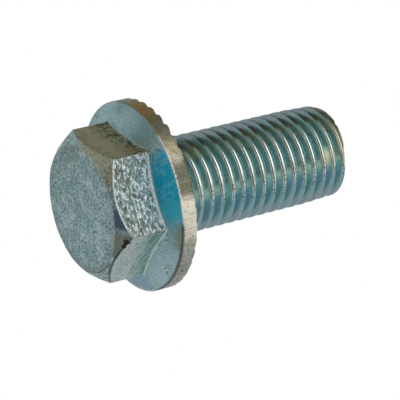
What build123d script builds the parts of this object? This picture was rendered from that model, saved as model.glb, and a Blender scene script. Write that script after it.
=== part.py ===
from build123d import *
import math
import os

# One flange bolt standing on its head, in millimetres.
# Z is 0 on the outer face of the head and rises along the axis to the tip of the thread.
# The corners of the hexagon lie at 0, 60, 120 degrees and so on, counted from +X.

# Hexagon head
across_flats = 21.9
corner_rounding = 0.4
top_face_diameter = 20.9
top_bevel_angle = 41.0
top_edge_bevel = 0.3

# Flange, whose height is counted from the outer face of the head to the bearing face
head_height = 11.9
flange_diameter = 31.2
flange_rim_height = 2.7
flange_slope_angle = 20.6
rim_edge_bevel = 0.2

# Serrations pressed into the bearing face, outside a plain ring
tooth_count = 40
tooth_depth_at_rim = 0.42
tooth_ramp_angle = 5.2
tooth_steep_angle = 1.4
tooth_valley_angle = 5.0
plain_ring_diameter = 20.0
tooth_end_length = 1.0

# Thread, with the direction in which its crest stands whole pitches above the bearing face
thread_diameter = 16.0
thread_pitch = 2.0
thread_half_angle = 30.0
crest_direction = 136.0
length_under_head = 34.75
neck_bevel = 0.4
run_out_length = 2.6

# Bevelled tip
tip_face_diameter = 14.5
tip_bevel_length = 0.9
tip_edge_bevel = 0.2

# Sizes that follow from the ones above
overall_length = head_height + length_under_head
corner_radius = across_flats / math.sqrt(3)
top_radius = top_face_diameter / 2
flange_radius = flange_diameter / 2
rim_start = head_height - flange_rim_height
thread_radius = thread_diameter / 2
root_radius = thread_radius - 0.61343 * thread_pitch
tip_radius = tip_face_diameter / 2


def turned(points, bevels):
    """Solid of revolution from an outline of radius and height with some corners bevelled."""
    with BuildPart() as body:
        with BuildSketch(Plane.XZ) as outline:
            with BuildLine():
                Polyline(*points, close=True)
            make_face()
            for number, amount in bevels:
                corner = outline.vertices().sort_by_distance(points[number])[0]
                chamfer(corner, length=amount)
        revolve(axis=Axis.Z)
    return body.part


def hexagon_head():
    """Six flats with softened corners, under the cone that bevels the outer face."""
    with BuildPart() as prism:
        with BuildSketch() as hexagon:
            RegularPolygon(radius=corner_radius, side_count=6)
            fillet(hexagon.vertices(), radius=corner_rounding)
        extrude(amount=rim_start)
    reach = flange_radius
    bevel_end = (reach - top_radius) * math.tan(math.radians(top_bevel_angle))
    bevel = [
        (0, 0),
        (top_radius, 0),
        (reach, bevel_end),
        (reach, rim_start + bevel_end),
        (0, rim_start + bevel_end),
    ]
    return prism.part & turned(bevel, [(1, top_edge_bevel)])


def flange_and_neck():
    """Sloping flange with an upright rim, and the cone that fills the last turns of thread."""
    slope = math.tan(math.radians(flange_slope_angle))
    hidden_radius = across_flats / 4
    hidden_height = rim_start - (flange_radius - hidden_radius) * slope
    neck_radius = thread_radius + 0.05
    buried_radius = root_radius - 0.1
    points = [
        (0, hidden_height),
        (hidden_radius, hidden_height),
        (flange_radius, rim_start),
        (flange_radius, head_height),
        (neck_radius, head_height),
        (buried_radius, head_height + run_out_length),
        (0, head_height + run_out_length),
    ]
    return turned(points, [(2, rim_edge_bevel), (4, neck_bevel)])


def serration_cutter():
    """Wedge that narrows towards the axis, gently ramped on one side and steep on the other."""
    start = plain_ring_diameter / 2
    valley_start = start + tooth_end_length
    end = flange_radius + 1
    above = tooth_depth_at_rim
    depth = tooth_depth_at_rim / flange_radius
    ramp = math.tan(math.radians(tooth_ramp_angle))
    steep = math.tan(math.radians(tooth_steep_angle))

    def across(radius, share):
        return share * (radius + above / depth)

    inner_steep = (start, across(start, steep), above)
    inner_ramp = (start, -across(start, ramp), above)
    inner_valley = (valley_start, 0, -depth * valley_start)
    outer_steep = (end, across(end, steep), above)
    outer_ramp = (end, -across(end, ramp), above)
    outer_valley = (end, 0, -depth * end)
    outlines = [
        [inner_steep, inner_ramp, inner_valley],
        [outer_steep, outer_ramp, outer_valley],
        [inner_steep, inner_ramp, outer_ramp, outer_steep],
        [inner_steep, inner_valley, outer_valley, outer_steep],
        [inner_ramp, inner_valley, outer_valley, outer_ramp],
    ]
    sides = [Face(Wire.make_polygon(outline)) for outline in outlines]
    return Pos(0, 0, head_height) * Solid(Shell(sides))


def thread_groove():
    """Groove with straight flanks and a narrow flat root, swept up the shank turn by turn."""
    slope = math.tan(math.radians(thread_half_angle))
    half_root = thread_pitch / 12
    outside = thread_radius + 0.06 * thread_pitch
    half_opening = half_root + (outside - root_radius) * slope
    below = 2 * thread_pitch
    turns = math.ceil((below + length_under_head) / thread_pitch) + 2
    foot = head_height - below - thread_pitch / 2
    with BuildSketch(Plane.XZ) as profile:
        with BuildLine():
            Polyline(
                (outside, foot - half_opening),
                (root_radius, foot - half_root),
                (root_radius, foot + half_root),
                (outside, foot + half_opening),
                close=True,
            )
        make_face()
    loops = []
    for turn in range(turns):
        start = (0, 0, foot + turn * thread_pitch)
        loops.append(Edge.make_helix(thread_pitch, thread_pitch, thread_radius, center=start))
    groove = Solid.sweep(profile.sketch.faces()[0], Wire(loops), is_frenet=True)
    return Rot(0, 0, crest_direction) * groove


def threaded_shank():
    """Round shank with a bevelled tip, its foot buried in the head, cut by the thread."""
    foot = head_height - thread_pitch
    points = [
        (0, foot),
        (thread_radius, foot),
        (thread_radius, overall_length - tip_bevel_length),
        (tip_radius, overall_length),
        (0, overall_length),
    ]
    return turned(points, [(3, tip_edge_bevel)]) - thread_groove()


# Head and flange, then the serrations, then the shank
head = hexagon_head() + flange_and_neck()
valleys = PolarLocations(0, tooth_count, start_angle=tooth_valley_angle) * serration_cutter()
flange_bolt = head - valleys + threaded_shank()
flange_bolt = flange_bolt.solids().sort_by(SortBy.VOLUME)[-1]
flange_bolt.label = "flange_bolt"

os.makedirs("parts", exist_ok=True)
export_step(flange_bolt, "parts/flange_bolt.step")
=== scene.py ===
import math

import bpy
import numpy as np
from bpy.props import FloatProperty, FloatVectorProperty, PointerProperty
from mathutils import Matrix, Vector


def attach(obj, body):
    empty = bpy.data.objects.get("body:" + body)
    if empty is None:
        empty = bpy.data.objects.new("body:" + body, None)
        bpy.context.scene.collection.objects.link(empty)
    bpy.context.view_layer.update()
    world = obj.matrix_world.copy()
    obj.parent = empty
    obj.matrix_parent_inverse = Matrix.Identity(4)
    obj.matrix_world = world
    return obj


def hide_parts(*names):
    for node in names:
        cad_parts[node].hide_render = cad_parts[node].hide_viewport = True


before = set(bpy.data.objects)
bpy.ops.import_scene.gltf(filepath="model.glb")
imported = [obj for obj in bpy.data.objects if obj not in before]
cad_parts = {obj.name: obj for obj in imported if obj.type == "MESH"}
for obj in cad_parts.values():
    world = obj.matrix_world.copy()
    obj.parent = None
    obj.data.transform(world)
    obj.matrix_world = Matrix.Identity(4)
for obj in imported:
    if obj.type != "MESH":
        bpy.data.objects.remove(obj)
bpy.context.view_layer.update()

bl_info = {
    "name": "Hexagon flange bolt",
    "version": (1, 0, 0),
    "blender": (4, 5, 0),
    "location": "3D View > Sidebar > Flange Bolt",
    "description": "Builds a zinc-plated hexagon flange bolt and the stage it is shown on",
    "category": "Object",
}

NODE = "flange_bolt"
MM = 0.001

# Serrations, in degrees round the axis: their pitch, the first valley, its gentle side and its steep side,
# and the direction in which they are worn
TOOTH_PITCH = 9.0
TOOTH_VALLEY = 5.0
TOOTH_RAMP = 5.2
TOOTH_STEEP = 1.4
WORN_SIDE = 120.0

# Flange and neck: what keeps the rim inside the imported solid's box, how far the neck's cone starts outside
# the thread and ends inside its root, and how high it is
RIM_MARGIN = 0.0005 * MM
NECK_CLEARANCE = 0.05 * MM
BURIED_DEPTH = 0.1 * MM
RUN_OUT = 2.6 * MM

# Thread: half the crest's width, the rolling seam's place on it, the direction in which a crest stands whole
# pitches from the bearing face, and how much the thread narrows towards the tip, over what length
CREST_HALF = 0.33 * MM
SEAM_PLACE = -0.11 * MM
CREST_DIRECTION = 168.0
TAPER = 0.25 * MM
TAPER_LENGTH = 7.0 * MM
COLUMNS_ROUND_SHANK = 144


# Settings


class BoltSizes(bpy.types.PropertyGroup):
    """Sizes of the bolt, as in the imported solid."""

    across_flats: FloatProperty(
        name="Across flats", description="Width of the hexagon", default=21.9 * MM, unit="LENGTH"
    )
    corner_rounding: FloatProperty(
        name="Corner rounding", description="Radius of the hexagon's upright edges", default=0.4 * MM, unit="LENGTH"
    )
    outer_face_diameter: FloatProperty(
        name="Outer face", description="Diameter of the head's flat outer face", default=20.9 * MM, unit="LENGTH"
    )
    bevel_angle: FloatProperty(
        name="Bevel", description="Angle of the cone under the outer face", default=math.radians(41.0), subtype="ANGLE"
    )
    head_height: FloatProperty(
        name="Head height", description="Outer face to bearing face", default=11.9 * MM, unit="LENGTH"
    )
    flange_diameter: FloatProperty(
        name="Flange", description="Diameter of the flange", default=31.2 * MM, unit="LENGTH"
    )
    rim_height: FloatProperty(
        name="Rim", description="Height of the flange's upright rim", default=2.7 * MM, unit="LENGTH"
    )
    slope_angle: FloatProperty(
        name="Slope", description="Slope of the flange's upper side", default=math.radians(20.6), subtype="ANGLE"
    )
    tooth_depth: FloatProperty(
        name="Serration depth", description="Depth of the serrations at the rim", default=0.42 * MM, unit="LENGTH"
    )
    plain_ring: FloatProperty(
        name="Plain ring", description="Diameter of the ring inside the serrations", default=20.0 * MM, unit="LENGTH"
    )
    thread_diameter: FloatProperty(
        name="Thread", description="Diameter over the thread's crests", default=16.0 * MM, unit="LENGTH"
    )
    thread_pitch: FloatProperty(
        name="Pitch", description="Distance from crest to crest", default=2.0 * MM, unit="LENGTH"
    )
    thread_depth: FloatProperty(
        name="Thread depth", description="Depth of the thread's root", default=1.22686 * MM, unit="LENGTH"
    )
    length: FloatProperty(
        name="Length", description="Bearing face to tip", default=34.75 * MM, unit="LENGTH"
    )
    tip_diameter: FloatProperty(
        name="Tip", description="Diameter of the tip's end face", default=14.5 * MM, unit="LENGTH"
    )
    tip_bevel: FloatProperty(
        name="Tip bevel", description="Length of the tip's bevel", default=0.9 * MM, unit="LENGTH"
    )


class ZincColours(bpy.types.PropertyGroup):
    """Colours of the plated surface."""

    plating: FloatVectorProperty(
        name="Plating", description="Pale blue-grey of passivated zinc",
        default=(0.52, 0.66, 0.69), subtype="COLOR", size=3, min=0.0, max=1.0
    )
    shade: FloatVectorProperty(
        name="Shade", description="Darker clouds in the plating",
        default=(0.37, 0.50, 0.53), subtype="COLOR", size=3, min=0.0, max=1.0
    )
    teal: FloatVectorProperty(
        name="Teal", description="Blue-green film in the thread",
        default=(0.31, 0.55, 0.57), subtype="COLOR", size=3, min=0.0, max=1.0
    )
    blue: FloatVectorProperty(
        name="Blue", description="Thick blue film on the flange's slope",
        default=(0.10, 0.74, 1.0), subtype="COLOR", size=3, min=0.0, max=1.0
    )
    navy: FloatVectorProperty(
        name="Navy", description="Dark blue stain on the bevel",
        default=(0.09, 0.15, 0.22), subtype="COLOR", size=3, min=0.0, max=1.0
    )
    olive: FloatVectorProperty(
        name="Olive", description="Olive tarnish",
        default=(0.58, 0.54, 0.35), subtype="COLOR", size=3, min=0.0, max=1.0
    )
    tan: FloatVectorProperty(
        name="Tan", description="Gold-brown tarnish",
        default=(0.62, 0.43, 0.20), subtype="COLOR", size=3, min=0.0, max=1.0
    )
    cream: FloatVectorProperty(
        name="Cream", description="Pale yellowish bare zinc",
        default=(0.84, 0.79, 0.66), subtype="COLOR", size=3, min=0.0, max=1.0
    )
    # Silver is also laid as painted highlights on edges that face the key lamp
    silver: FloatVectorProperty(
        name="Silver", description="Bright worn edges and crests",
        default=(0.98, 0.99, 0.97), subtype="COLOR", size=3, min=0.0, max=1.0
    )
    # Dark colour for real pits and dots, also laid along edges as painted shade
    dirt_and_shade: FloatVectorProperty(
        name="Dirt", description="Dark grime in pits and seams",
        default=(0.05, 0.045, 0.035), subtype="COLOR", size=3, min=0.0, max=1.0
    )


class StageSettings(bpy.types.PropertyGroup):
    """Floor, lamps and camera."""

    floor_colour: FloatVectorProperty(
        name="Floor", description="Colour of the floor", default=(0.80, 0.80, 0.80), subtype="COLOR", size=3
    )
    floor_glow: FloatProperty(
        name="Floor glow", description="What the floor adds of its own so that it looks pale", default=0.42
    )
    key_power: FloatProperty(name="Key lamp", description="Power of the side lamp", default=0.45, unit="POWER")
    fill_power: FloatProperty(name="Fill lamp", description="Power of the fill lamp", default=0.15, unit="POWER")
    lens: FloatProperty(name="Lens", description="Focal length of the camera", default=203.6)


# Mesh helpers


def rounded_outline(corners, radii, steps):
    """Outline with its corners rounded, for many directions at once.

    corners has the shape (corner, direction, 2) and holds radius and height. Each inner corner is
    replaced by the curve (1-t)^2 A + 2t(1-t) B + t^2 C, where B is the corner and A and C lie on its two
    sides, radius / tan(half the angle) away and never more than 0.45 of the side.
    """
    points = [corners[0][None]]
    for k in range(1, len(corners) - 1):
        before, at, after = corners[k - 1], corners[k], corners[k + 1]
        back = before - at
        ahead = after - at
        back_length = np.linalg.norm(back, axis=1)
        ahead_length = np.linalg.norm(ahead, axis=1)
        back = back / back_length[:, None]
        ahead = ahead / ahead_length[:, None]
        cosine = np.clip((back * ahead).sum(1), -0.9999, 0.9999)
        half = np.arccos(cosine) / 2
        reach = np.minimum(radii[k] / np.tan(half), 0.45 * np.minimum(back_length, ahead_length))
        start = at + back * reach[:, None]
        end = at + ahead * reach[:, None]
        t = np.linspace(0, 1, steps[k] + 1)[:, None, None]
        points.append((1 - t) ** 2 * start + 2 * t * (1 - t) * at + t ** 2 * end)
    points.append(corners[-1][None])
    return points


def filled_rows(groups, counts):
    """Rows of an outline in order, with evenly spaced rows laid between the rounded corners."""
    rows = [groups[0]]
    for k in range(1, len(groups)):
        start, end = groups[k - 1][-1], groups[k][0]
        t = np.linspace(0, 1, counts[k - 1] + 2)[1:-1, None, None]
        if len(t):
            rows.append((1 - t) * start + t * end)
        rows.append(groups[k])
    return np.concatenate(rows, axis=0)


def ring_faces(rows, columns):
    """Quads of a grid whose rows close round the axis."""
    i, j = np.meshgrid(np.arange(rows - 1), np.arange(columns), indexing="ij")
    j2 = (j + 1) % columns
    quads = np.stack([i * columns + j, (i + 1) * columns + j, (i + 1) * columns + j2, i * columns + j2], -1)
    return quads.reshape(-1, 4)


def helix_faces(rows, columns, rows_per_turn):
    """Quads of a grid whose rows climb one pitch per turn, so that its last column meets its first one turn on."""
    i, j = np.meshgrid(np.arange(rows - 1), np.arange(columns - 1), indexing="ij")
    body = np.stack([i * columns + j, (i + 1) * columns + j, (i + 1) * columns + j + 1, i * columns + j + 1], -1)
    i = np.arange(rows - 1 - rows_per_turn)
    last = i * columns + columns - 1
    first = (i + rows_per_turn) * columns
    seam = np.stack([last, last + columns, first + columns, first], -1)
    return np.concatenate([body.reshape(-1, 4), seam])


def welded_mesh(name, points, quads, attributes):
    """Mesh whose points that fall together are one, and whose collapsed faces are left out."""
    keys = np.round(points / 1e-8).astype(np.int64)
    _, first, inverse = np.unique(keys, axis=0, return_index=True, return_inverse=True)
    inverse = inverse.reshape(-1)
    quads = inverse[quads]
    keep = quads != np.roll(quads, -1, axis=1)
    whole = keep.sum(1) >= 3
    quads, keep = quads[whole], keep[whole]
    totals = keep.sum(1)
    starts = np.concatenate([[0], np.cumsum(totals)[:-1]])
    used = np.unique(quads[keep])
    renumber = np.zeros(len(first), dtype=np.int64)
    renumber[used] = np.arange(len(used))
    loops = renumber[quads[keep]]
    mesh = bpy.data.meshes.new(name)
    mesh.vertices.add(len(used))
    mesh.vertices.foreach_set("co", points[first[used]].astype(np.float32).ravel())
    mesh.loops.add(len(loops))
    mesh.loops.foreach_set("vertex_index", loops.astype(np.int32))
    mesh.polygons.add(len(totals))
    mesh.polygons.foreach_set("loop_start", starts.astype(np.int32))
    mesh.polygons.foreach_set("loop_total", totals.astype(np.int32))
    mesh.update(calc_edges=True)
    mesh.validate()
    for label, values in attributes.items():
        layer = mesh.attributes.new(label, "FLOAT", "POINT")
        layer.data.foreach_set("value", values.ravel()[first[used]].astype(np.float32))
    mesh.polygons.foreach_set("use_smooth", np.ones(len(totals), dtype=bool))
    return mesh


def placed(name, mesh, material):
    """Put a mesh at the origin as an object that rides on the bolt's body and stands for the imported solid."""
    mesh.materials.append(material)
    piece = bpy.data.objects.new(name, mesh)
    bpy.context.scene.collection.objects.link(piece)
    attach(piece, "root")
    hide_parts(NODE)


def smooth_step(x):
    """0 below 0, 1 above 1, and 3x^2 - 2x^3 between."""
    x = np.clip(x, 0, 1)
    return x * x * (3 - 2 * x)


# Head and flange


def hexagon_radius(around, sizes):
    """Distance from the axis to the rounded hexagon in each direction.

    On a flat it is apothem / cos(angle from the flat's middle). Near a corner it is the distance to a
    circle of the rounding's radius whose centre lies on the corner's direction.
    """
    apothem = sizes.across_flats / 2
    corner = sizes.across_flats / math.sqrt(3)
    rounding = sizes.corner_rounding
    from_flat = (around % (math.pi / 3)) - math.pi / 6
    flat = apothem / np.cos(from_flat)
    limit = math.atan((corner / 2 - rounding * math.tan(math.pi / 6)) / apothem)
    from_corner = math.pi / 6 - np.abs(from_flat)
    centre = corner - rounding / math.sin(math.pi / 3)
    inside = np.maximum(rounding ** 2 - (centre * np.sin(from_corner)) ** 2, 0)
    arc = centre * np.cos(from_corner) + np.sqrt(inside)
    return np.where(np.abs(from_flat) > limit, arc, flat)


def serration_depth(radius, around, sizes):
    """Depth of the serrations below the bearing face.

    It grows with the radius, falls off to zero at the plain ring, and over each pitch of 9 degrees it
    rises in a straight line over 5.2 degrees to its full value and drops back over 1.4 degrees. Within 56
    degrees of the direction 120 they are worn, down to 0.4 of that within 41 degrees.
    """
    pitch = math.radians(TOOTH_PITCH)
    valley = math.radians(TOOTH_VALLEY)
    ramp = math.radians(TOOTH_RAMP)
    steep = math.radians(TOOTH_STEEP)
    turn = (around - valley + pitch / 2) % pitch - pitch / 2
    before = np.where(turn < 0, 1 + turn / ramp, 1 - turn / steep)
    other = 1 + (turn - pitch) / ramp
    share = np.clip(np.maximum(before, other), 0, 1)
    ring = sizes.plain_ring / 2
    fade = np.clip((radius - ring) / (1.0 * MM), 0, 1)
    worn = 1 - 0.6 * smooth_step((np.cos(around - math.radians(WORN_SIDE)) - 0.56) / 0.19)
    return sizes.tooth_depth * radius / (sizes.flange_diameter / 2) * share * fade * worn


def head_directions():
    """Directions round the head: even steps, closer ones at the corners and at the serrations' edges."""
    even = np.arange(0, 360, 1.5)
    near = np.array([-1.3, -1.0, -0.75, -0.5, -0.25, 0.25, 0.5, 0.75, 1.0, 1.3])
    corners = (np.arange(0, 360, 60)[:, None] + near).ravel()
    edges = np.array([-TOOTH_RAMP - 0.1, -TOOTH_RAMP + 0.1, -0.12, 0.0, 0.12, TOOTH_STEEP - 0.1, TOOTH_STEEP + 0.1])
    teeth = (np.arange(0, 360, TOOTH_PITCH)[:, None] + TOOTH_VALLEY + edges).ravel()
    fixed = np.concatenate([corners, teeth, np.arange(0, 360, 60)]) % 360
    gaps = np.abs((even[:, None] - fixed[None, :] + 180) % 360 - 180).min(1)
    return np.radians(np.unique(np.round(np.concatenate([even[gaps > 0.3], fixed]), 4)))


def head_surface(sizes):
    """Head, flange and neck: one outline of radius and height for each direction, carried round the axis.

    The outline runs from the middle of the outer face over the bevel, down a flat of the hexagon, out along
    the slope, over the rim, in across the serrations and the plain ring, and up the neck's cone. The edge of
    the outer face wavers by three sines of the direction, as a forged one does.
    """
    around = head_directions()
    n = len(around)
    full = np.ones(n)
    hexagon = hexagon_radius(around, sizes)
    top = sizes.outer_face_diameter / 2
    flange = sizes.flange_diameter / 2 - RIM_MARGIN
    high = sizes.head_height
    rim = high - sizes.rim_height
    slope = math.tan(sizes.slope_angle)
    wobble = 0.03 * MM * np.sin(7 * around + 1.0) + 0.03 * MM * np.sin(13 * around) + 0.02 * MM * np.sin(29 * around)
    edge = top + wobble
    bevel_foot = (hexagon - edge) * math.tan(sizes.bevel_angle)
    slope_foot = rim - (flange - hexagon) * slope
    neck = sizes.thread_diameter / 2 + NECK_CLEARANCE
    root = sizes.thread_diameter / 2 - sizes.thread_depth - BURIED_DEPTH

    def pair(radius, height):
        """One corner of the outline in every direction."""
        return np.stack([radius * full, height * full], -1)

    corners = np.stack([
        pair(0.0, 0.0),
        pair(edge, 0.0),
        pair(hexagon, bevel_foot),
        pair(hexagon, slope_foot),
        pair(flange, rim),
        pair(flange, high),
    ])

    # The foot of the hexagon is sharper on the flat that faces 90 degrees
    sharp = smooth_step((np.cos(around - math.pi / 2) - 0.85) / 0.03)
    radii = [0, 0.45 * MM, 0.12 * MM, (0.45 - 0.33 * sharp) * MM, 0.22 * MM, 0]
    outer = rounded_outline(corners, radii, [0, 6, 4, 6, 5, 0])[:-1]
    outer = filled_rows(outer, [14, 5, 20, 7])

    # Rim, whose last row follows the serrations
    height = np.linspace(0, 1, 5)[1:, None]
    lip = 0.1 * MM
    top_of_rim = high - serration_depth(flange * full, around, sizes) - lip
    upright_start = outer[-1, :, 1]
    upright = np.stack([
        np.broadcast_to(flange * full, (4, n)),
        (1 - height) * upright_start + height * top_of_rim,
    ], -1)

    # Bearing face, with close rows where the serrations run out, and neck
    rings = (15.2, 14.6, 13.8, 12.9, 12.0, 11.3, 11.0, 10.8, 10.4, 10.1, 10.0, 9.8, 9.0)
    across = np.array([flange - lip, *(ring * MM for ring in rings)])[:, None]
    bearing = np.stack([
        across * full,
        high - serration_depth(across * full, around, sizes),
    ], -1)
    inner = np.stack([
        pair(neck + 1.0 * MM, high),
        pair(neck, high),
        pair(root, high + RUN_OUT),
        pair(0.0, high + RUN_OUT),
    ])
    inner = rounded_outline(inner, [0, 0.55 * MM, 0.02 * MM, 0], [0, 6, 1, 0])
    inner = filled_rows(inner, [1, 6, 3])[1:]
    rows = np.concatenate([outer, upright, bearing, inner])
    radius, height = rows[..., 0], rows[..., 1]
    points = np.stack([radius * np.cos(around), radius * np.sin(around), height], -1)
    return points, rows, around, hexagon


def dented(points, centre, reach, depth):
    """Points near a centre pulled towards the axis by depth * (1 - (distance / reach)^2)^2, and up by 0.4 of it."""
    gap = np.linalg.norm(points - np.array(centre), axis=-1) / reach
    pull = depth * np.clip(1 - gap ** 2, 0, 1) ** 2
    radius = np.hypot(points[..., 0], points[..., 1])
    scale = np.where(radius > 0, (radius - pull) / np.maximum(radius, 1e-9), 1)
    moved = points.copy()
    moved[..., 0] *= scale
    moved[..., 1] *= scale
    moved[..., 2] += 0.4 * pull
    return moved


def build_head(sizes, material):
    """Closed mesh of the head, with masks for its faces, for its worn edges and the edges with painted highlights, and
    for edges darkened as painted shade.
    """
    points, rows, around, hexagon = head_surface(sizes)

    # Nick in the bevel
    points = dented(points, (-6.8 * MM, 9.7 * MM, 1.15 * MM), 0.8 * MM, 0.35 * MM)
    count, columns = rows.shape[:2]
    radius, height = rows[..., 0], rows[..., 1]
    top = sizes.outer_face_diameter / 2
    flange = sizes.flange_diameter / 2
    high = sizes.head_height
    rim = high - sizes.rim_height
    bevel_foot = (hexagon - top) * math.tan(sizes.bevel_angle)
    slope_foot = rim - (flange - hexagon) * math.tan(sizes.slope_angle)

    def close(a, b, width):
        """1 on a line of the outline and falling to 0 at a distance from it."""
        return np.clip(1 - np.hypot(radius - a, height - b) / width, 0, 1)

    def between(low, high, soft):
        """1 where the direction lies between two angles, falling to 0 over a soft angle outside them."""
        middle, half = math.radians((low + high) / 2), math.radians((high - low) / 2)
        off = np.abs((around - middle + math.pi) % (2 * math.pi) - math.pi)
        return smooth_step(1 + (half - off) / math.radians(soft))

    from_corner = math.pi / 6 - np.abs((around % (math.pi / 3)) - math.pi / 6)
    upright = (height > bevel_foot) & (height < slope_foot) & (radius < flange - 1.0 * MM)
    upright_edge = np.clip(1 - from_corner * top / (0.35 * MM), 0, 1) * upright
    bright_side = between(62, 112, 6)
    bevel_edge = close(hexagon, bevel_foot + 0.12 * MM, 0.36 * MM)
    rim_edge = close(flange, rim, 0.30 * MM)
    foot_edge = close(hexagon, slope_foot - 0.14 * MM, 0.40 * MM)
    # Worn bare edges, with silver painted highlights on edges that face the key lamp, between 60 and 117 degrees, and
    # along the foot of the flat round 150 degrees
    worn = np.maximum.reduce([
        bevel_edge * (0.15 + 0.85 * bright_side),
        rim_edge * (0.05 + 1.0 * between(60, 106, 6)),
        foot_edge * 1.2 * between(63, 117, 2),
        close(hexagon, slope_foot, 0.35 * MM) * np.maximum(0.3, 0.9 * between(120, 178, 5)),
        upright_edge * (0.8 - 0.5 * between(40, 140, 10)),
        0.5 * close(flange, high, 0.25 * MM),
    ])
    # Dark lines along the edges, strongest away from the lit side: painted shade
    edge_shade = np.maximum.reduce([
        close(hexagon, bevel_foot - 0.02 * MM, 0.18 * MM) * 0.45 * (1 - bright_side),
        close(hexagon - 0.12 * MM, bevel_foot - 0.12 * MM, 0.45 * MM) * between(122, 176, 5),
        close(flange, rim, 0.26 * MM) * (0.75 - 0.75 * between(46, 112, 8)),
        close(flange, rim, 0.42 * MM) * 1.1 * between(116, 172, 8),
        close(top, 0.0, 0.40 * MM) * (0.3 + 0.4 * between(160, 240, 20)),
    ])
    in_flat = smooth_step((height - bevel_foot) / (0.1 * MM)) * smooth_step((slope_foot - height) / (0.1 * MM))
    masks = {
        "worn": worn,
        "edge_shade": edge_shade,
        "outer_face": smooth_step(1 - (radius - top + 0.25 * MM) / (0.2 * MM)) * (height < 0.3 * MM),
        "bevel": (smooth_step((radius - top + 0.2 * MM) / (0.2 * MM))
                  * smooth_step((bevel_foot + 0.05 * MM - height) / (0.1 * MM))),
        "flat": in_flat * (radius < hexagon + 0.2 * MM),
        "slope": (smooth_step((height - slope_foot) / (0.15 * MM))
                  * smooth_step((rim + 0.1 * MM - height) / (0.1 * MM))),
        "rim": smooth_step((radius - flange + 0.10 * MM) / (0.08 * MM)) * (height > rim - 0.1 * MM),
        "bearing": (height > high - 0.6 * MM) * smooth_step((flange - 0.02 * MM - radius) / (0.1 * MM)),
    }
    mesh = welded_mesh("bolt_head", points.reshape(-1, 3), ring_faces(count, columns)[:, ::-1], masks)
    mesh.set_sharp_from_angle(angle=math.radians(50))
    placed("bolt_head", mesh, material)


# Threaded shank


def thread_profile(along, sizes):
    """Radius of a rolled thread at a distance along the axis from a crest.

    A straight flank falls by 1.732 per unit of length from a crest 0.66 mm wide with softened edges, into
    a root rounded to 0.2 mm. The crest has a shallow seam beside its middle, left by rolling: a bell curve
    0.07 mm deep.
    """
    pitch = sizes.thread_pitch
    signed = (along + pitch / 2) % pitch - pitch / 2
    off = np.abs(signed)
    crest_radius = sizes.thread_diameter / 2
    flank = crest_radius - (off - CREST_HALF) * math.sqrt(3)
    soft = 0.06 * MM
    lower = np.minimum(crest_radius, flank)
    gap = np.abs(crest_radius - flank)
    radius = lower - soft * np.exp(-gap / soft) * 0.6
    rounding = 0.20 * MM
    root = crest_radius - sizes.thread_depth + 0.10 * MM
    from_root = pitch / 2 - off
    arc = root + rounding - np.sqrt(np.maximum(rounding ** 2 - np.minimum(from_root, rounding) ** 2, 0))
    tangent = rounding * math.cos(math.pi / 6)
    radius = np.where(from_root < tangent, arc, np.maximum(radius, root))
    seam = 0.07 * MM * np.exp(-(((signed - SEAM_PLACE) / (0.08 * MM)) ** 2))
    return radius - seam


def shank_surface(sizes):
    """Threaded shank as a sheet of rows that climb one pitch per turn.

    A point's height is its row's height plus pitch times its share of a turn. Its radius is the thread's
    profile there, less a smooth step over the last 7 mm for the taper, held under the tip's bevel. Rows past
    the tip run in across the end face to the axis, and rows below the neck run in to the axis inside the head.
    """
    pitch = sizes.thread_pitch
    share = np.arange(COLUMNS_ROUND_SHANK) / COLUMNS_ROUND_SHANK

    # Rows of one turn, by their distance from the crest's middle
    flank_rows = np.array([0.0, 0.04, 0.08, 0.12, 0.18, 0.25, 0.32, 0.36, 0.41, 0.49, 0.58, 0.71, 0.80, 0.90]) * MM
    turn_rows = np.concatenate([flank_rows, [pitch / 2], (pitch - flank_rows[1:])[::-1]])
    per_turn = len(turn_rows)

    # Turns from below the foot to past the tip; rows close to the tip are moved onto it
    tip = sizes.head_height + sizes.length
    foot = sizes.head_height + 0.3 * MM
    crest = sizes.head_height - pitch * CREST_DIRECTION / 360.0
    lowest = math.floor((foot - 2.2 * pitch - crest) / pitch)
    highest = math.ceil((tip + 1.2 * pitch - crest) / pitch)
    turns = np.arange(lowest, highest)
    start = (crest + turns[:, None] * pitch + turn_rows[None, :]).ravel()
    height = start[:, None] + pitch * share[None, :]
    spacing = 0.5 * np.abs(np.gradient(start))[:, None]
    height = np.where(np.abs(height - tip) < spacing, tip, height)
    along = height - crest - pitch * share

    # Thread, taper and bevel of the tip
    narrower = TAPER * smooth_step((height - tip + TAPER_LENGTH) / TAPER_LENGTH)
    radius = thread_profile(along, sizes) - narrower
    bevel = sizes.tip_diameter / 2 + (tip - height) * (
        (sizes.thread_diameter - sizes.tip_diameter) / 2 / sizes.tip_bevel)
    radius = np.minimum(radius, np.where(height <= tip, bevel, radius))

    # End face and buried foot
    end_profile = thread_profile(tip - crest - pitch * share, sizes) - TAPER
    end_radius = np.minimum(end_profile, sizes.tip_diameter / 2)
    past = np.clip((height - tip) / pitch, 0, 1)
    start_radius = thread_profile(foot - crest - pitch * share, sizes)
    before = np.clip((foot - height) / pitch, 0, 1)
    radius = np.where(height > tip, end_radius * (1 - past), radius)
    radius = np.where(height < foot, start_radius * (1 - before), radius)
    radius = np.where((past >= 1) | (before >= 1), 0.0, radius)
    height = np.clip(height, foot, tip)
    around = 2 * math.pi * share
    points = np.stack([radius * np.cos(around), radius * np.sin(around), height], -1)
    off = (along + pitch / 2) % pitch - pitch / 2
    return points, off, past, per_turn


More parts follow.
